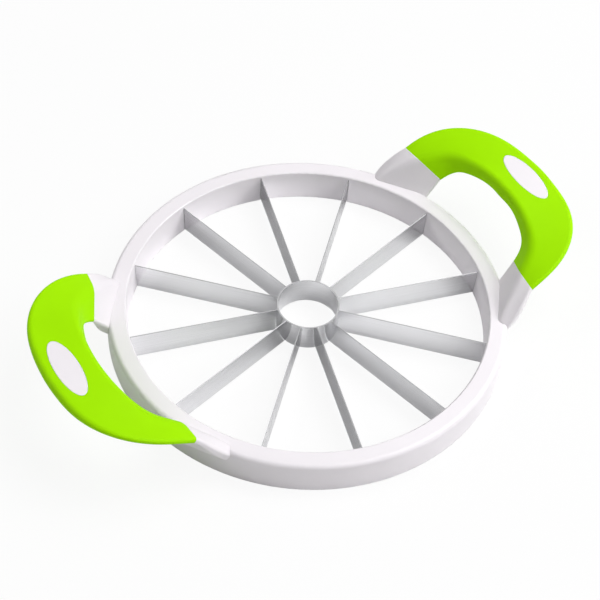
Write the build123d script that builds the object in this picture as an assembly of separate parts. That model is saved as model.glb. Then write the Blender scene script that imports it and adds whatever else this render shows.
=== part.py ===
from build123d import *
import math
import os

# Melon slicer: a plastic ring with two raised handles, and a star of steel blades round a hub.
# Millimetres. The origin is the ring's centre on the table, +Z is up, +X points along the right handle.

# Ring, an upside-down channel
ring_radius = 140.0
ring_height = 24.6
ring_width = 14.3
ring_wall = 2.3
ring_top_wall = 2.4
outer_lean = 0.5
inner_lean = 1.0
rim_outer_round = 3.2
rim_inner_round = 1.0
foot_round = 0.6

# Blades and hub
blade_count = 12
blade_thickness = 0.6
blade_table_gap = 0.8
blade_bevel = 2.6
blade_edge = 0.16
hub_radius = 22.0
hub_wall = 0.9
tang_height = 13.0
tang_length = 8.4
anchor_inset = 3.2
anchor_thickness = 1.6
anchor_depth = 4.0

# Bottom ring and screws
bottom_thickness = 3.6
post_width = 6.0
post_length = 6.4
boss_radius = 3.2
screw_radius = 1.4
screw_head_radius = 2.7
screw_head_height = 1.9
screw_length = 10.0
recess_width = 0.8
recess_length = 3.4
recess_depth = 1.1
ring_screw_angles = (0.0, 60.0, 90.0, 120.0, 180.0, 240.0, 270.0, 300.0)

# Handles
handle_overhang = 57.6
handle_half_length = 80.0
handle_rise = 38.7
handle_thickness = 9.0
root_hole_angle = 19.2
root_outer_angle = 37.2
root_swell_share = 0.055
crease_round = 4.5
lip_round = 1.4
root_round = 1.8
tuck_share = 0.4
edge_round_share = 0.55
underside_round_share = 0.4
core_share = 0.62
core_lap = 0.4
root_space_share = 1.3
tenon_width = 14.0
tenon_height = 4.0
tenon_length = 7.8
tenon_drop = 3.2
tenon_bite = 0.6

# Oval insets
oval_half_length = 24.5
oval_half_width = 8.3
oval_place_share = 0.45
oval_room = 3.6
peg_radius = 1.5
peg_length = 2.8
peg_sink = 0.7
peg_spacing = 24.0

# Fits
slip = 0.1
seat_gap = 0.15
overrun = 5.0

# Sections of one half handle, from the middle to the boundary of the grip. Each place is
# (out, along, up) in shares of the overhang, the half length and the rise.
top_outer_shares = (
    (1.0, 0.0, 1.0),
    (0.94, 0.39, 0.99),
    (0.68, 0.75, 0.955),
    (0.208, 0.958, 0.81),
    (-0.17, 0.99, 0.577),
)
top_inner_shares = (
    (0.373, 0.0, 0.938),
    (0.33, 0.312, 0.915),
    (0.216, 0.562, 0.83),
    (0.052, 0.71, 0.725),
    (-0.143, 0.796, 0.583),
)
bottom_inner_shares = (
    (0.344, 0.0, 0.71),
    (0.315, 0.262, 0.69),
    (0.238, 0.437, 0.6),
    (0.147, 0.53, 0.465),
    (0.026, 0.569, 0.308),
)
# Depth of the lip on the hole side and of the outer wall, in shares of the handle's thickness.
lip_shares = (0.26, 0.26, 0.28, 0.3, 0.34)
wall_shares = (0.8, 0.8, 0.7, 0.48, 0.4)
# Rounding of the crease over the hole, in shares of its radius at the middle: the crease fades out
# towards the boundary of the grip, and the root tightens it again half-way, at the rim and inside.
crease_shares = (1.0, 1.1, 1.6, 2.6, 3.6)
root_crease_shares = (2.2, 1.2, 0.4)

# Sections of the root at the rim and inside the ring, with the corners in the same order. Each place
# is (round, out, up) in shares of the root's angle, the ring's width and the ring's height.
rim_shares = (
    (1.03, 0.0, -0.08),
    (1.0, -0.52, 0.0),
    (0.0, 0.0, 0.0),
    (0.08, 0.38, -0.3),
    (0.95, 0.18, -0.18),
)
foot_shares = (
    (1.0, -0.35, -0.55),
    (0.97, -0.8, -0.55),
    (0.03, -0.75, -0.55),
    (0.05, -0.25, -0.55),
    (0.95, -0.3, -0.55),
)

# Heights and radii that several pieces share
ceiling = ring_height - ring_top_wall
ring_inner_radius = ring_radius - ring_width
channel_inner = ring_inner_radius + ring_wall
channel_outer = ring_radius - ring_wall
screw_circle = (channel_inner + channel_outer) / 2
blade_pitch = 360.0 / blade_count
tang_bottom = ceiling - tang_height
anchor_radius = channel_outer - anchor_inset
tenon_top = ring_height - tenon_drop
tenon_bottom = tenon_top - tenon_height
tenon_angle = (root_hole_angle + root_outer_angle) / 2


def outer_wall_radius(height):
    return ring_radius - outer_lean * height / ring_height


def inner_wall_radius(height):
    return ring_inner_radius + inner_lean * height / ring_height


def polar(radius, angle, height):
    turn = math.radians(angle)
    return Vector(radius * math.cos(turn), radius * math.sin(turn), height)


def turned(shape, angle):
    return Rot(0, 0, angle) * shape


def block(x_range, width, z_range):
    """Box along +X, centred on the XZ plane."""
    length = x_range[1] - x_range[0]
    height = z_range[1] - z_range[0]
    at = Pos((x_range[0] + x_range[1]) / 2, 0, (z_range[0] + z_range[1]) / 2)
    return at * Box(length, width, height)


def post(radius, place, z_range):
    """Upright cylinder at a distance along +X."""
    height = z_range[1] - z_range[0]
    return Pos(place, 0, (z_range[0] + z_range[1]) / 2) * Cylinder(radius, height)


def rounded_outline(corners, rounds):
    """Closed outline through the corners, each turned into an arc of its own radius."""
    starts = []
    middles = []
    ends = []
    for index, radius in enumerate(rounds):
        here = corners[index]
        back = (corners[index - 1] - here).normalized()
        ahead = (corners[(index + 1) % len(corners)] - here).normalized()
        half_angle = math.radians(back.get_angle(ahead)) / 2
        reach = radius / math.tan(half_angle)
        starts.append(here + back * reach)
        ends.append(here + ahead * reach)
        middles.append(here + (back + ahead).normalized() * (radius / math.sin(half_angle) - radius))
    edges = []
    for index, radius in enumerate(rounds):
        if radius:
            edges.append(Edge.make_three_point_arc(starts[index], middles[index], ends[index]))
        edges.append(Edge.make_line(ends[index], starts[(index + 1) % len(corners)]))
    return Wire(edges)


def revolved(points, rounds=None):
    """Solid of revolution about Z from (radius, height) points."""
    corners = [Vector(radius, 0, height) for radius, height in points]
    outline = rounded_outline(corners, rounds or [0] * len(corners))
    return revolve(Face(outline), axis=Axis.Z)


# Ring frame


def ring_envelope():
    """The ring as if it were solid, which is also what the handle roots fit against."""
    return revolved(
        [
            (ring_inner_radius, 0),
            (ring_radius, 0),
            (outer_wall_radius(ring_height), ring_height),
            (inner_wall_radius(ring_height), ring_height),
        ],
        [foot_round, foot_round, rim_outer_round, rim_inner_round],
    )


def tenon(clearance):
    """Tenon of one handle root along +X, grown all round by a clearance."""
    return block(
        (ring_radius - ring_wall - tenon_length - clearance, ring_radius + tenon_bite + clearance),
        tenon_width + 2 * clearance,
        (tenon_bottom - clearance, tenon_top + clearance),
    )


def handle_angles():
    return [middle + side * tenon_angle for middle in (0, 180) for side in (1, -1)]


def blade_angles():
    return [blade_pitch * (index + 0.5) for index in range(blade_count)]


def ring_frame():
    ring = ring_envelope()
    ring -= revolved(
        [
            (channel_inner, -overrun),
            (channel_inner, 0),
            (inner_wall_radius(ceiling) + ring_wall, ceiling),
            (outer_wall_radius(ceiling) - ring_wall, ceiling),
            (channel_outer, 0),
            (channel_outer, -overrun),
        ]
    )
    ring += revolved(
        [
            (anchor_radius - anchor_thickness / 2, ceiling - anchor_depth),
            (anchor_radius + anchor_thickness / 2, ceiling - anchor_depth),
            (anchor_radius + anchor_thickness / 2, ceiling + ring_top_wall / 2),
            (anchor_radius - anchor_thickness / 2, ceiling + ring_top_wall / 2),
        ]
    )
    boss = post(boss_radius, screw_circle, (bottom_thickness, ceiling + ring_top_wall / 2))
    ring += [turned(boss, angle) for angle in ring_screw_angles]
    screw_tip = screw_head_height + screw_length
    pilot = post(screw_radius + slip, screw_circle, (bottom_thickness - overrun, screw_tip + slip))
    slit = block(
        (ring_inner_radius - overrun, channel_inner + inner_lean),
        blade_thickness + 2 * slip,
        (-overrun, ceiling),
    )
    cuts = [turned(pilot, angle) for angle in ring_screw_angles]
    cuts += [turned(slit, angle) for angle in blade_angles()]
    cuts += [turned(tenon(seat_gap), angle) for angle in handle_angles()]
    return ring - cuts


# Bottom ring


def bottom_ring():
    inner = inner_wall_radius(bottom_thickness) + ring_wall + slip
    outer = outer_wall_radius(bottom_thickness) - ring_wall - slip
    plate = revolved([(inner, 0), (outer, 0), (outer, bottom_thickness), (inner, bottom_thickness)])
    clamp = block(
        (screw_circle - post_length / 2, screw_circle + post_length / 2),
        post_width,
        (bottom_thickness / 2, tang_bottom),
    )
    sleeve = post(boss_radius, screw_circle, (bottom_thickness / 2, tenon_bottom))
    plate += [turned(clamp, angle) for angle in blade_angles()]
    plate += [turned(sleeve, angle) for angle in handle_angles()]
    hole = post(screw_head_radius + slip, screw_circle, (-overrun, screw_head_height))
    hole += post(screw_radius + slip, screw_circle, (0, tenon_top))
    screw_angles = list(ring_screw_angles) + handle_angles()
    return plate - [turned(hole, angle) for angle in screw_angles]


# Screws


def screw(length):
    """Pan-head screw with a cross recess, standing head down on the table at the screw circle."""
    body = post(screw_head_radius, 0, (0, screw_head_height))
    body += post(screw_radius, 0, (0, screw_head_height + length))
    recess = block((-recess_length / 2, recess_length / 2), recess_width, (-overrun, recess_depth))
    return Pos(screw_circle, 0, 0) * (body - [recess, turned(recess, 90)])


def ring_screws():
    one = screw(screw_length)
    return Compound([turned(one, angle) for angle in ring_screw_angles])


def handle_screws():
    one = screw(tenon_top - screw_head_height)
    return Compound([turned(one, angle) for angle in handle_angles()])


# Hub and blades


def hub_ring():
    inner = hub_radius - hub_wall
    return revolved(
        [
            (hub_radius - blade_edge, blade_table_gap),
            (hub_radius, blade_table_gap),
            (hub_radius, ceiling),
            (inner, ceiling),
            (inner, blade_table_gap + blade_bevel),
        ]
    )


def blade():
    """Blade along +X: sharpened strip, welded to the hub, with a hooked tang in the ring."""
    bevel_top = blade_table_gap + blade_bevel
    section = [
        (blade_thickness / 2, ceiling),
        (-blade_thickness / 2, ceiling),
        (-blade_thickness / 2, bevel_top),
        (-blade_edge / 2, blade_table_gap),
        (blade_edge / 2, blade_table_gap),
        (blade_thickness / 2, bevel_top),
    ]
    corners = [Vector(hub_radius, across, height) for across, height in section]
    outline = Face(Wire.make_polygon(corners))
    strip = extrude(outline, amount=channel_inner - hub_radius, dir=(1, 0, 0))
    tang = block(
        (channel_inner - ring_wall, channel_inner + tang_length),
        blade_thickness,
        (tang_bottom, ceiling),
    )
    hook = anchor_thickness / 2 + slip
    notch = block(
        (anchor_radius - hook, anchor_radius + hook),
        blade_thickness + overrun,
        (ceiling - anchor_depth - slip, ceiling + overrun),
    )
    return strip + (tang - notch)


# Handles


def grip_place(shares):
    out, along, up = shares
    return Vector(
        ring_radius + out * handle_overhang,
        along * handle_half_length,
        ring_height + up * handle_rise,
    )


def root_place(shares):
    turn, out, up = shares
    angle = root_hole_angle + turn * (root_outer_angle - root_hole_angle)
    return polar(ring_radius + out * ring_width, angle, ring_height * (1 + up))


def section_corners(top_outer, top_inner, bottom_inner, lip, wall):
    """Five corners of a flat section: three upper ones, and two below that follow from them."""
    across = (bottom_inner - top_outer).normalized()
    sag = (bottom_inner + top_outer) / 2 - top_inner
    down = (sag - across * sag.dot(across)).normalized()
    lower_inner = bottom_inner + (down - across * tuck_share) * lip
    lower_outer = top_outer + (down + across * tuck_share) * wall
    return [top_outer, top_inner, bottom_inner, lower_inner, lower_outer]


def half_sections():
    """Corners of the sections of one half handle, from the middle to the boundary of the grip."""
    rows = zip(top_outer_shares, top_inner_shares, bottom_inner_shares, lip_shares, wall_shares)
    return [
        section_corners(
            grip_place(top_outer),
            grip_place(top_inner),
            grip_place(bottom_inner),
            lip * handle_thickness,
            wall * handle_thickness,
        )
        for top_outer, top_inner, bottom_inner, lip, wall in rows
    ]


def half_rounds():
    """Radii of the corners of those sections, in the same order."""
    walls = [wall * handle_thickness for wall in wall_shares]
    return [
        [edge_round_share * wall, crease * crease_round, lip_round, lip_round, underside_round_share * wall]
        for wall, crease in zip(walls, crease_shares)
    ]


def root_sections():
    """Corners of the sections of one root: half-way down, at the rim and inside the ring."""
    rim, foot = [[root_place(place) for place in shares] for shares in (rim_shares, foot_shares)]
    halfway = [(high + low) / 2 for high, low in zip(half_sections()[-1], rim)]
    hole_side = halfway[2]
    swollen = [hole_side + (corner - hole_side) * (1 + root_swell_share) for corner in halfway]
    return [swollen, rim, foot]


def root_rounds():
    """Radii of the corners of the sections of one root."""
    return [
        [root_round, crease * crease_round, root_round, root_round, root_round]
        for crease in root_crease_shares
    ]


def mirrored(corners):
    return [Vector(corner.X, -corner.Y, corner.Z) for corner in corners]


def both_halves(half):
    """Sections of a whole handle from those of one half, which start at the middle."""
    return [mirrored(corners) for corners in reversed(half[1:])] + half


def smooth_form(sections, rounds):
    return Solid.make_loft([rounded_outline(*pair) for pair in zip(sections, rounds)])


def grip_form():
    """Outer form of a whole handle, which the grip is cut from."""
    half = half_sections() + root_sections()[1:]
    rounds = half_rounds() + root_rounds()[1:]
    return smooth_form(both_halves(half), rounds[:0:-1] + rounds)


def root_form():
    """Outer form of one root, straighter than the grip, from under the grip into the ring."""
    return smooth_form(half_sections()[-2:] + root_sections(), half_rounds()[-2:] + root_rounds())


def core_corners(corners):
    """Corners of the core inside a section, drawn in towards the middle of the section."""
    top_outer, top_inner, bottom_inner, _, lower_outer = corners
    outline = [top_outer, top_inner, bottom_inner, lower_outer]
    middle = sum(outline, Vector()) / len(outline)
    return [middle + (corner - middle) * core_share for corner in outline]


def core_bar():
    """The part of the core that the grip covers."""
    half = [core_corners(corners) for corners in half_sections()]
    return Solid.make_loft([Wire.make_polygon(corners) for corners in both_halves(half)])


def root_spaces():
    """Blocks that take in everything beyond the two ends of the grip."""
    top_outer, top_inner, bottom_inner = half_sections()[-1][:3]
    across = bottom_inner - top_outer
    away = across.cross(top_inner - top_outer).normalized()
    end = (top_outer + bottom_inner) / 2 - away * core_lap
    size = root_space_share * handle_half_length
    beyond = Box(size, size, size, align=(Align.CENTER, Align.CENTER, Align.MIN))
    space = Plane(origin=end, x_dir=across, z_dir=away) * beyond
    return [space, mirror(space, about=Plane.XZ)]


def oval_plane():
    """Plane on the top of the grip at the middle of the oval, with X pointing outwards."""
    outer, inner = half_sections()[0][:2]
    outwards = outer - inner
    upwards = outwards.cross(Vector(0, 1, 0))
    return Plane(origin=outer - outwards * oval_place_share, x_dir=outwards, z_dir=upwards)


def oval_prism(clearance):
    """Upright oval from inside the core to above the grip."""
    outline = Ellipse(oval_half_width + clearance, oval_half_length + clearance)
    return oval_plane() * Pos(0, 0, -oval_room) * extrude(outline, amount=oval_room + overrun)


def oval_pegs(clearance):
    peg = Cylinder(peg_radius + clearance, peg_length + clearance)
    depth = peg_sink + (peg_length + clearance) / 2
    return [oval_plane() * Pos(0, side * peg_spacing / 2, -depth) * peg for side in (1, -1)]


def handle_pieces():
    """Core, grip and oval inset of the right handle."""
    form = grip_form()
    bar = core_bar()
    spaces = root_spaces()
    pilot = post(screw_radius + slip, screw_circle, (0, ring_height))
    root = (root_form() & spaces[0]) - ring_envelope() + turned(tenon(0), tenon_angle)
    root -= turned(pilot, tenon_angle)
    core = bar + [root, mirror(root, about=Plane.XZ)] - oval_pegs(slip)
    skin = form - spaces - bar
    grip = skin - oval_prism(seat_gap)
    inset = (skin & oval_prism(0)) + oval_pegs(0)
    return core, grip, inset


def write(name, shape):
    export_step(shape, f"parts/{name}.step")


os.makedirs("parts", exist_ok=True)
write("ring_frame", ring_frame())
write("bottom_ring", bottom_ring())
write("ring_screws", ring_screws())
write("handle_screws", handle_screws())
write("hub_ring", hub_ring())
one_blade = blade()
for number, angle in enumerate(blade_angles(), start=1):
    write(f"blade_{number:02d}", turned(one_blade, angle))
for name, shape in zip(("handle_core", "grip", "oval_inset"), handle_pieces()):
    write(f"{name}_right", shape)
    write(f"{name}_left", turned(shape, 180))
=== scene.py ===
import math

import bpy
from bpy.props import FloatProperty, FloatVectorProperty, PointerProperty
from mathutils import Matrix, Vector


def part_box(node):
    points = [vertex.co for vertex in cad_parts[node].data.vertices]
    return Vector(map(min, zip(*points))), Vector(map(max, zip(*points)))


bl_info = {
    "name": "Melon slicer looks",
    "version": (1, 0, 0),
    "blender": (4, 5, 0),
    "location": "3D View > Sidebar > Melon slicer",
    "description": "Finishes and studio stage for a melon slicer with raised bow handles",
    "category": "Object",
}

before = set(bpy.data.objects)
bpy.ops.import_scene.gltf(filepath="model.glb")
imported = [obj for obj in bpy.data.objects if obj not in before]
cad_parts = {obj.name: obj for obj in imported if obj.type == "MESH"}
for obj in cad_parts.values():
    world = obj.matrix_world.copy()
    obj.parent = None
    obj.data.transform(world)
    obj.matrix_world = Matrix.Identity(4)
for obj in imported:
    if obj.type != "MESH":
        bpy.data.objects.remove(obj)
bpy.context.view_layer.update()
BLADES = sorted(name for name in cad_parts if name.startswith("blade_"))
SIDES = ("right", "left")
WHITE = (1.0, 1.0, 1.0)


def colour_property(name, description, default):
    return FloatVectorProperty(
        name=name,
        description=description,
        subtype="COLOR",
        size=3,
        min=0.0,
        max=1.0,
        default=default,
    )


def length_property(name, description, default):
    return FloatProperty(
        name=name,
        description=description,
        unit="LENGTH",
        subtype="DISTANCE",
        precision=5,
        default=default,
    )


def angle_property(name, description, degrees):
    return FloatProperty(
        name=name,
        description=description,
        unit="ROTATION",
        subtype="ANGLE",
        default=math.radians(degrees),
    )


def power_property(name, description, default):
    return FloatProperty(
        name=name, description=description, unit="POWER", min=0.0, default=default
    )


class SlicerFinish(bpy.types.PropertyGroup):
    """Colours and grain of the slicer's materials."""

    plastic_colour: colour_property(
        "Plastic colour",
        "Moulded white plastic of the ring, the handle roots and the ovals",
        (0.88, 0.845, 0.88),
    )
    grip_colour: colour_property(
        "Grip colour", "Soft lime-green skin of the grips", (0.37, 0.83, 0.0)
    )
    steel_colour: colour_property(
        "Steel colour", "Brushed steel of the blades, the hub and the screws", (0.79, 0.79, 0.805)
    )
    plastic_grain: length_property(
        "Plastic grain", "Size of the fine grain that the mould leaves", 0.0011
    )
    edge_round: length_property(
        "Edge round", "Reach over which the plastic's moulded edges look soft", 0.0008
    )
    grip_grain: length_property("Grip grain", "Size of the fine matt grain on the grips", 0.0008)
    brush_line: length_property("Brush line", "Width of one brushed line in the steel", 0.0004)
    brush_run: length_property("Brush run", "Length of one brushed line in the steel", 0.05)
    scuff_height: length_property(
        "Scuff height", "How far up the ring the table's rub marks reach", 0.003
    )
    ground_height: length_property(
        "Ground height", "Height up to which the cutting edges are ground", 0.0034
    )
    # Reach of the darkening near the hub: painted shade between the blades, with a faint weld heat
    # tint
    hub_shade_and_weld_reach: length_property(
        "Weld reach", "How far from the hub's band the steel is dulled by welding", 0.02
    )


class SlicerStage(bpy.types.PropertyGroup):
    """Camera, floor and lamps."""

    target_height: length_property(
        "Target height", "Height of the point that the camera looks at", 0.0246
    )
    distance: length_property("Camera distance", "Distance from the camera to that point", 1.0564)
    azimuth: angle_property(
        "Camera azimuth", "Direction of the camera round the slicer, from its front", -34.63
    )
    elevation: angle_property("Camera elevation", "Angle of the camera above the table", 49.5)
    roll: angle_property("Camera roll", "Turn of the camera about its own line of sight", 4.57)
    lens: FloatProperty(
        name="Lens",
        description="Focal length on a sensor 36 mm wide",
        unit="CAMERA",
        default=90.9,
    )
    shift_across: FloatProperty(
        name="Shift across", description="Shift of the picture to the side", default=-0.014
    )
    shift_up: FloatProperty(
        name="Shift up", description="Shift of the picture upwards", default=0.0027
    )
    floor_size: length_property("Floor size", "Length of the floor's side", 8.0)
    floor_gap: length_property(
        "Floor gap", "Gap that keeps the floor and the ring's foot apart", 0.0002
    )
    floor_colour: colour_property(
        "Floor colour", "Pale floor under the slicer", (0.86, 0.86, 0.86)
    )
    lamp_distance: length_property("Lamp distance", "Distance from each lamp to the slicer", 2.5)
    lamp_size: length_property("Lamp size", "Length of a lamp's side", 1.3)
    key_power: power_property("Key power", "Power of the main lamp, on the picture's right", 26.5)
    high_power: power_property("High power", "Power of the lamp high over the right handle", 31.5)
    front_power: power_property("Front power", "Power of the weak lamp in front", 11.0)
    left_power: power_property(
        "Left power", "Power of the weak lamp on the picture's left", 13.5
    )
    sky_level: FloatProperty(
        name="Sky level", description="Even light from all round", default=0.12
    )


def paint(colour, level=1.0):
    """A colour at a level, with the alpha that a colour socket wants."""
    return (*(channel * level for channel in colour), 1.0)


# Places of the colour sockets on a Mix node, whose names several of its sockets share
MIX_FIRST = 6
MIX_SECOND = 7
MIX_RESULT = 2


class NodeSheet:
    """A material's node tree with short ways to add the nodes that the finishes share."""

    def __init__(self, name):
        self.material = bpy.data.materials.new(name)
        self.material.use_nodes = True
        self.tree = self.material.node_tree
        self.tree.nodes.clear()
        output = self.tree.nodes.new("ShaderNodeOutputMaterial")
        self.surface = self.tree.nodes.new("ShaderNodeBsdfPrincipled")
        self.feed(output.inputs["Surface"], self.surface.outputs["BSDF"])
        self.place = self.tree.nodes.new("ShaderNodeTexCoord").outputs["Object"]

    def feed(self, socket, value):
        """Links a socket or sets its value."""
        if isinstance(value, bpy.types.NodeSocket):
            self.tree.links.new(value, socket)
        else:
            socket.default_value = value

    def fed(self, socket):
        """What already feeds a socket of the surface."""
        return self.surface.inputs[socket].links[0].from_socket

    def node(self, kind, values, **settings):
        made = self.tree.nodes.new(kind)
        for setting, value in settings.items():
            setattr(made, setting, value)
        for socket, value in values.items():
            self.feed(made.inputs[socket], value)
        return made

    def noise(self, size, detail=3.0, stretch=(1.0, 1.0, 1.0)):
        """Noise whose spots are about size metres across, drawn out along the axes by stretch."""
        scale = [1.0 / (size * way) for way in stretch]
        mapping = self.node("ShaderNodeMapping", {"Vector": self.place, "Scale": scale})
        values = {"Vector": mapping.outputs["Vector"], "Scale": 1.0, "Detail": detail}
        return self.node("ShaderNodeTexNoise", values).outputs["Fac"]

    def spread(self, source, low, high, start=0.3, end=0.7):
        """Source from start to end, spread over low to high."""
        values = {
            "Value": source,
            "From Min": start,
            "From Max": end,
            "To Min": low,
            "To Max": high,
        }
        return self.node("ShaderNodeMapRange", values).outputs["Result"]

    def sums(self, first, second, operation):
        made = self.node("ShaderNodeMath", {0: first, 1: second}, operation=operation)
        return made.outputs["Value"]

    def vectors(self, first, second, operation):
        made = self.node("ShaderNodeVectorMath", {0: first, 1: second}, operation=operation)
        return made.outputs["Vector"]

    def outwards(self):
        """Level vector from the hub's axis to the shaded point."""
        return self.vectors(self.place, (1.0, 1.0, 0.0), "MULTIPLY")

    def radius(self):
        made = self.node("ShaderNodeVectorMath", {0: self.outwards()}, operation="LENGTH")
        return made.outputs["Value"]

    def height(self):
        return self.node("ShaderNodeSeparateXYZ", {"Vector": self.place}).outputs["Z"]

    def mixed(self, share, first, second):
        """Two colours mixed by a share."""
        values = {"Factor": share, MIX_FIRST: first, MIX_SECOND: second}
        return self.node("ShaderNodeMix", values, data_type="RGBA").outputs[MIX_RESULT]

    def bump(self, source, depth, under=None):
        """Bump of a depth in metres, laid over another normal if asked."""
        values = {"Height": source, "Distance": depth, "Strength": 1.0}
        if under:
            values["Normal"] = under
        return self.node("ShaderNodeBump", values).outputs["Normal"]

    def finish(self, values):
        for socket, value in values.items():
            self.feed(self.surface.inputs[socket], value)


# White plastic: sizes and depths in metres
PLASTIC_CLOUD = 0.04
PLASTIC_CLOUD_LEVEL = 0.975
PLASTIC_SMEAR = 0.012
PLASTIC_ROUGHNESS = (0.32, 0.42)
PLASTIC_WAVE = 0.03
PLASTIC_WAVE_DEPTH = 0.0001
PLASTIC_GRAIN_DEPTH = 0.00001
PLASTIC_IOR = 1.5
SOFT_EDGE_SAMPLES = 6


def white_plastic(name, look):
    """Semi-gloss moulded plastic: faint clouding, fine grain, a slight sink wave, soft edges."""
    sheet = NodeSheet(name)
    cloud = sheet.spread(sheet.noise(PLASTIC_CLOUD), 0.0, 1.0)
    shade = paint(look.plastic_colour, PLASTIC_CLOUD_LEVEL)
    base = sheet.mixed(cloud, shade, paint(look.plastic_colour))
    rough = sheet.spread(sheet.noise(PLASTIC_SMEAR, detail=5.0), *PLASTIC_ROUGHNESS)
    edges = sheet.node("ShaderNodeBevel", {"Radius": look.edge_round}, samples=SOFT_EDGE_SAMPLES)
    soft = edges.outputs["Normal"]
    wave = sheet.bump(sheet.noise(PLASTIC_WAVE, detail=1.0), PLASTIC_WAVE_DEPTH, under=soft)
    spots = sheet.noise(look.plastic_grain, detail=2.0)
    grain = sheet.bump(spots, PLASTIC_GRAIN_DEPTH, under=wave)
    sheet.finish({"Base Color": base, "Roughness": rough, "Normal": grain, "IOR": PLASTIC_IOR})
    return sheet


# Rub marks on the foot of the ring
SCUFF_SPOT = 0.004
SCUFF_SHARE = 0.35
SCUFF_COLOUR = (0.4, 0.39, 0.38)


def table_scuffs(sheet, look):
    """Adds the grey rub marks that a table leaves round the foot of the ring."""
    base = sheet.fed("Base Color")
    rough = sheet.fed("Roughness")
    low = sheet.spread(sheet.height(), 1.0, 0.0, start=0.0, end=look.scuff_height)
    spots = sheet.noise(SCUFF_SPOT, detail=6.0)
    marks = sheet.sums(low, sheet.spread(spots, 0.0, SCUFF_SHARE, start=0.5, end=0.75), "MULTIPLY")
    worn = sheet.mixed(marks, base, paint(SCUFF_COLOUR))
    dull = sheet.sums(rough, marks, "ADD")
    sheet.finish({"Base Color": worn, "Roughness": dull})


# Grip skin: sizes, depths and heights in metres
GRIP_CLOUD = 0.03
GRIP_CLOUD_LEVEL = 0.96
GRIP_SMEAR = 0.008
GRIP_ROUGHNESS = (0.56, 0.68)
GRIP_GRAIN_DEPTH = 0.00004
GRIP_SPECULAR = 0.06
RUBBED_FROM = 0.04
RUBBED_TO = 0.063
RUBBED_SMOOTHER = 0.08


def soft_grip(name, look):
    """Matt soft-touch skin: faint clouding, fine grain, smoother where hands rub the top."""
    sheet = NodeSheet(name)
    cloud = sheet.spread(sheet.noise(GRIP_CLOUD), 0.0, 1.0)
    shade = paint(look.grip_colour, GRIP_CLOUD_LEVEL)
    base = sheet.mixed(cloud, shade, paint(look.grip_colour))
    rough = sheet.spread(sheet.noise(GRIP_SMEAR, detail=4.0), *GRIP_ROUGHNESS)
    crest = sheet.spread(sheet.height(), 0.0, RUBBED_SMOOTHER, start=RUBBED_FROM, end=RUBBED_TO)
    rubbed = sheet.sums(rough, crest, "SUBTRACT")
    grain = sheet.bump(sheet.noise(look.grip_grain, detail=2.0), GRIP_GRAIN_DEPTH)
    sheet.finish(
        {
            "Base Color": base,
            "Roughness": rubbed,
            "Normal": grain,
            "Specular IOR Level": GRIP_SPECULAR,
        }
    )
    return sheet


# Brushed steel: sizes and depths in metres
LINE_LEVEL = 0.9
LINE_DEPTH = 0.000003
STEEL_SMEAR = 0.02
STEEL_SMEAR_ROUGHER = 0.05
BLADE_ROUGHNESS = 0.17
HUB_ROUGHNESS = 0.12
SCREW_ROUGHNESS = 0.28
# Lobe of the blades: its stretch, its quarter turn and its share at grazing angles
BLADE_STRETCH = 0.75
BLADE_TURN = 0.25
BLADE_GRAZING = 0.72


def brushed_steel(name, look, roughness):
    """Steel brushed level with the table: fine lines in tone and height, faint smears in gloss."""
    sheet = NodeSheet(name)
    level = look.brush_run / look.brush_line
    lines = sheet.noise(look.brush_line, detail=2.0, stretch=(level, level, 1.0))
    share = sheet.spread(lines, 0.0, 1.0)
    tone = sheet.mixed(share, paint(look.steel_colour, LINE_LEVEL), paint(look.steel_colour))
    smears = sheet.noise(STEEL_SMEAR, detail=4.0)
    rough = sheet.spread(smears, roughness, roughness + STEEL_SMEAR_ROUGHER)
    normal = sheet.bump(lines, LINE_DEPTH)
    sheet.finish({"Base Color": tone, "Roughness": rough, "Normal": normal, "Metallic": 1.0})
    return sheet


# Steel darkened towards the hub (painted shade between the crowded blades, with a faint weld heat
# tint), ground and cut steel: the blend between two finishes is in metres
HUB_SHADE_AND_WELD_SHARE = 0.1
HUB_SHADE_AND_WELD_LEVEL = 0.45
GROUND_SMOOTHER = 0.6
CUT_LEVEL = 0.5
CUT_ROUGHER = 0.3
FINISH_BLEND = 0.0001


def hub_shade_and_weld_tint(sheet, look):
    """Darkens the blades towards the hub: painted shade where the blades crowd together, with a
    faint weld heat tint.
    """
    tone = sheet.fed("Base Color")
    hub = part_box("hub_ring")[1][0]
    # Painted shade near the hub, with a faint weld heat tint, fading out over the reach
    shade_and_weld_share = sheet.spread(sheet.radius(), HUB_SHADE_AND_WELD_SHARE, 0.0, start=hub, end=hub + look.hub_shade_and_weld_reach)
    sheet.finish({"Base Color": sheet.mixed(shade_and_weld_share, tone, paint(look.steel_colour, HUB_SHADE_AND_WELD_LEVEL))})


def ground_edge(sheet, look):
    """Polishes the ground strip above the cutting edge."""
    rough = sheet.fed("Roughness")
    start = look.ground_height - FINISH_BLEND
    end = look.ground_height + FINISH_BLEND
    strip = sheet.spread(sheet.height(), GROUND_SMOOTHER, 1.0, start=start, end=end)
    sheet.finish({"Roughness": sheet.sums(rough, strip, "MULTIPLY")})


def dull_back(sheet, node):
    """Dulls a node's narrow upper edge, which is cut and not brushed."""
    tone = sheet.fed("Base Color")
    rough = sheet.fed("Roughness")
    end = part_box(node)[1][2] - FINISH_BLEND
    top = sheet.spread(sheet.height(), 0.0, 1.0, start=end - FINISH_BLEND, end=end)
    dark = sheet.vectors(tone, (CUT_LEVEL, CUT_LEVEL, CUT_LEVEL), "MULTIPLY")
    cut = sheet.sums(sheet.sums(top, CUT_ROUGHER, "MULTIPLY"), rough, "ADD")
    sheet.finish({"Base Color": sheet.mixed(top, tone, dark), "Roughness": cut})


def coat(node, sheet):
    """Gives a CAD node a material, which leaves its shape as it is."""
    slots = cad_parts[node].data.materials
    slots.clear()
    slots.append(sheet.material)


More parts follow.
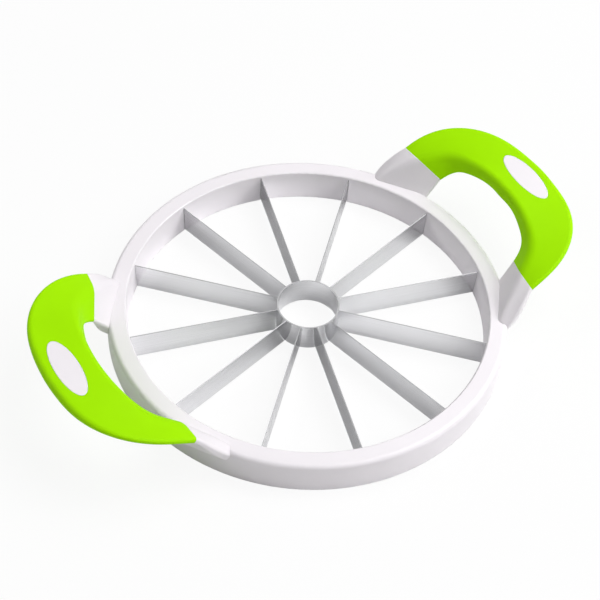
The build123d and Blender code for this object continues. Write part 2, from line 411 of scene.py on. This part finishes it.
class SLICER_OT_ring(bpy.types.Operator):
    """Finish the ring and the ring below it in white plastic"""

    bl_idname = "slicer.ring"
    bl_label = "Ring"

    def execute(self, context):
        look = context.scene.slicer_finish
        plastic = white_plastic("ring_plastic", look)
        table_scuffs(plastic, look)
        for node in ("ring_frame", "bottom_ring"):
            coat(node, plastic)
        return {"FINISHED"}


class SLICER_OT_blades(bpy.types.Operator):
    """Finish the blades in steel brushed along their length"""

    bl_idname = "slicer.blades"
    bl_label = "Blades"

    def execute(self, context):
        look = context.scene.slicer_finish
        steel = brushed_steel("blade_steel", look, BLADE_ROUGHNESS)
        # Darker towards the hub: painted shade between the crowded blades, with a faint weld heat
        # tint
        hub_shade_and_weld_tint(steel, look)
        ground_edge(steel, look)
        dull_back(steel, BLADES[0])
        steel.finish(
            {
                "Anisotropic": BLADE_STRETCH,
                "Anisotropic Rotation": BLADE_TURN,
                "Tangent": steel.vectors(steel.outwards(), (0.0, 0.0, 0.0), "NORMALIZE"),
                "Specular Tint": paint(WHITE, BLADE_GRAZING),
            }
        )
        for node in BLADES:
            coat(node, steel)
        return {"FINISHED"}


class SLICER_OT_hub(bpy.types.Operator):
    """Finish the hub in bright steel, brushed round the band"""

    bl_idname = "slicer.hub"
    bl_label = "Hub"

    def execute(self, context):
        look = context.scene.slicer_finish
        steel = brushed_steel("hub_steel", look, HUB_ROUGHNESS)
        ground_edge(steel, look)
        dull_back(steel, "hub_ring")
        coat("hub_ring", steel)
        return {"FINISHED"}


class SLICER_OT_handles(bpy.types.Operator):
    """Finish the white handle cores and the oval insets"""

    bl_idname = "slicer.handles"
    bl_label = "Handles"

    def execute(self, context):
        look = context.scene.slicer_finish
        core = white_plastic("handle_plastic", look)
        oval = white_plastic("oval_plastic", look)
        for side in SIDES:
            coat(f"handle_core_{side}", core)
            coat(f"oval_inset_{side}", oval)
        return {"FINISHED"}


class SLICER_OT_grips(bpy.types.Operator):
    """Finish the grips in matt lime green"""

    bl_idname = "slicer.grips"
    bl_label = "Grips"

    def execute(self, context):
        skin = soft_grip("grip_skin", context.scene.slicer_finish)
        for side in SIDES:
            coat(f"grip_{side}", skin)
        return {"FINISHED"}


class SLICER_OT_screws(bpy.types.Operator):
    """Finish the screws in plain steel"""

    bl_idname = "slicer.screws"
    bl_label = "Screws"

    def execute(self, context):
        steel = brushed_steel("screw_steel", context.scene.slicer_finish, SCREW_ROUGHNESS)
        for node in ("ring_screws", "handle_screws"):
            coat(node, steel)
        return {"FINISHED"}


# Shares of plain white that each kind of ray sees in place of the shaded floor and of the sky
FLOOR_WHITE = {"Is Camera Ray": 0.9, "Is Glossy Ray": 0.1, "Is Transmission Ray": 0.9}
SKY_WHITE = {"Is Camera Ray": 1.0, "Is Glossy Ray": 1.0, "Is Transmission Ray": 1.0}
# Each lamp's angle round the slicer and its angle above the table, in degrees
KEY_PLACE = (-34.6, 40.0)
HIGH_PLACE = (0.0, 62.0)
FRONT_PLACE = (-79.6, 40.0)
LEFT_PLACE = (145.4, 40.0)
SENSOR_WIDTH = 36.0


def seen_share(tree, shares):
    """A share for each kind of ray that is named, and zero for the rest."""
    path = tree.nodes.new("ShaderNodeLightPath")
    total = None
    for name, share in shares.items():
        step = tree.nodes.new("ShaderNodeMath")
        step.operation = "MULTIPLY_ADD"
        step.inputs[1].default_value = share
        step.inputs[2].default_value = 0.0
        tree.links.new(path.outputs[name], step.inputs[0])
        if total:
            tree.links.new(total, step.inputs[2])
        total = step.outputs["Value"]
    return total


def blended(tree, share, plain, white, output):
    """Shows the plain shader, and the white one in its place by a share."""
    blend = tree.nodes.new("ShaderNodeMixShader")
    tree.links.new(share, blend.inputs["Fac"])
    tree.links.new(plain, blend.inputs[1])
    tree.links.new(white, blend.inputs[2])
    tree.links.new(blend.outputs["Shader"], output.inputs["Surface"])


def add_floor(stage):
    """Pale floor with a soft shadow, nearly white to the camera and a little whiter in steel."""
    half = stage.floor_size / 2
    mesh = bpy.data.meshes.new("floor")
    sides = [(-half, -half), (half, -half), (half, half), (-half, half)]
    mesh.from_pydata([(x, y, -stage.floor_gap) for x, y in sides], [], [(0, 1, 2, 3)])
    floor = bpy.data.objects.new("floor", mesh)
    bpy.context.scene.collection.objects.link(floor)
    material = bpy.data.materials.new("floor_paper")
    material.use_nodes = True
    tree = material.node_tree
    tree.nodes.clear()
    output = tree.nodes.new("ShaderNodeOutputMaterial")
    paper = tree.nodes.new("ShaderNodeBsdfDiffuse")
    paper.inputs["Color"].default_value = paint(stage.floor_colour)
    glow = tree.nodes.new("ShaderNodeEmission")
    share = seen_share(tree, FLOOR_WHITE)
    blended(tree, share, paper.outputs["BSDF"], glow.outputs["Emission"], output)
    mesh.materials.append(material)


def add_sky(stage):
    """Even light from all round, white where it is seen."""
    world = bpy.data.worlds.new("studio")
    world.use_nodes = True
    tree = world.node_tree
    tree.nodes.clear()
    output = tree.nodes.new("ShaderNodeOutputWorld")
    light = tree.nodes.new("ShaderNodeBackground")
    light.inputs["Color"].default_value = paint(WHITE)
    light.inputs["Strength"].default_value = stage.sky_level
    white = tree.nodes.new("ShaderNodeBackground")
    white.inputs["Color"].default_value = paint(WHITE)
    share = seen_share(tree, SKY_WHITE)
    blended(tree, share, light.outputs["Background"], white.outputs["Background"], output)
    bpy.context.scene.world = world


def add_lamp(name, stage, place, power):
    """Square soft lamp, turned towards the slicer."""
    turn, rise = (math.radians(angle) for angle in place)
    level = math.cos(rise)
    way = Vector((level * math.cos(turn), level * math.sin(turn), math.sin(rise)))
    data = bpy.data.lights.new(name, "AREA")
    data.shape = "SQUARE"
    data.size = stage.lamp_size
    data.energy = power
    lamp = bpy.data.objects.new(name, data)
    lamp.location = way * stage.lamp_distance
    lamp.rotation_euler = (-way).to_track_quat("-Z", "Y").to_euler()
    bpy.context.scene.collection.objects.link(lamp)


def add_camera(stage):
    """Camera at the photographed angle."""
    data = bpy.data.cameras.new("camera")
    data.sensor_width = SENSOR_WIDTH
    data.lens = stage.lens
    data.shift_x = stage.shift_across
    data.shift_y = stage.shift_up
    camera = bpy.data.objects.new("camera", data)
    level = math.cos(stage.elevation)
    away = Vector(
        (
            level * math.sin(stage.azimuth),
            -level * math.cos(stage.azimuth),
            math.sin(stage.elevation),
        )
    )
    target = Vector((0.0, 0.0, stage.target_height))
    look = (-away).to_track_quat("-Z", "Y").to_matrix().to_4x4()
    turn = Matrix.Rotation(stage.roll, 4, "Z")
    camera.matrix_world = Matrix.Translation(target + away * stage.distance) @ look @ turn
    bpy.context.scene.collection.objects.link(camera)
    bpy.context.scene.camera = camera


class SLICER_OT_stage(bpy.types.Operator):
    """Set the floor, the light and the camera"""

    bl_idname = "slicer.stage"
    bl_label = "Stage"

    def execute(self, context):
        stage = context.scene.slicer_stage
        add_floor(stage)
        add_sky(stage)
        add_lamp("key_lamp", stage, KEY_PLACE, stage.key_power)
        add_lamp("high_lamp", stage, HIGH_PLACE, stage.high_power)
        add_lamp("front_lamp", stage, FRONT_PLACE, stage.front_power)
        add_lamp("left_lamp", stage, LEFT_PLACE, stage.left_power)
        add_camera(stage)
        context.scene.view_settings.view_transform = "Standard"
        return {"FINISHED"}


class SLICER_PT_panel(bpy.types.Panel):
    """The slicer's finishes and stage"""

    bl_idname = "SLICER_PT_panel"
    bl_label = "Melon slicer"
    bl_space_type = "VIEW_3D"
    bl_region_type = "UI"
    bl_category = "Melon slicer"

    def draw(self, context):
        for operator in OPERATORS:
            self.layout.operator(operator.bl_idname)


OPERATORS = (
    SLICER_OT_ring,
    SLICER_OT_blades,
    SLICER_OT_hub,
    SLICER_OT_handles,
    SLICER_OT_grips,
    SLICER_OT_screws,
    SLICER_OT_stage,
)
CLASSES = (SlicerFinish, SlicerStage, *OPERATORS, SLICER_PT_panel)


def register():
    for item in CLASSES:
        bpy.utils.register_class(item)
    bpy.types.Scene.slicer_finish = PointerProperty(type=SlicerFinish)
    bpy.types.Scene.slicer_stage = PointerProperty(type=SlicerStage)


def unregister():
    del bpy.types.Scene.slicer_stage
    del bpy.types.Scene.slicer_finish
    for item in reversed(CLASSES):
        bpy.utils.unregister_class(item)


def main():
    register()
    bpy.ops.slicer.ring()
    bpy.ops.slicer.blades()
    bpy.ops.slicer.hub()
    bpy.ops.slicer.handles()
    bpy.ops.slicer.grips()
    bpy.ops.slicer.screws()
    bpy.ops.slicer.stage()


if __name__ == "__main__":
    main()
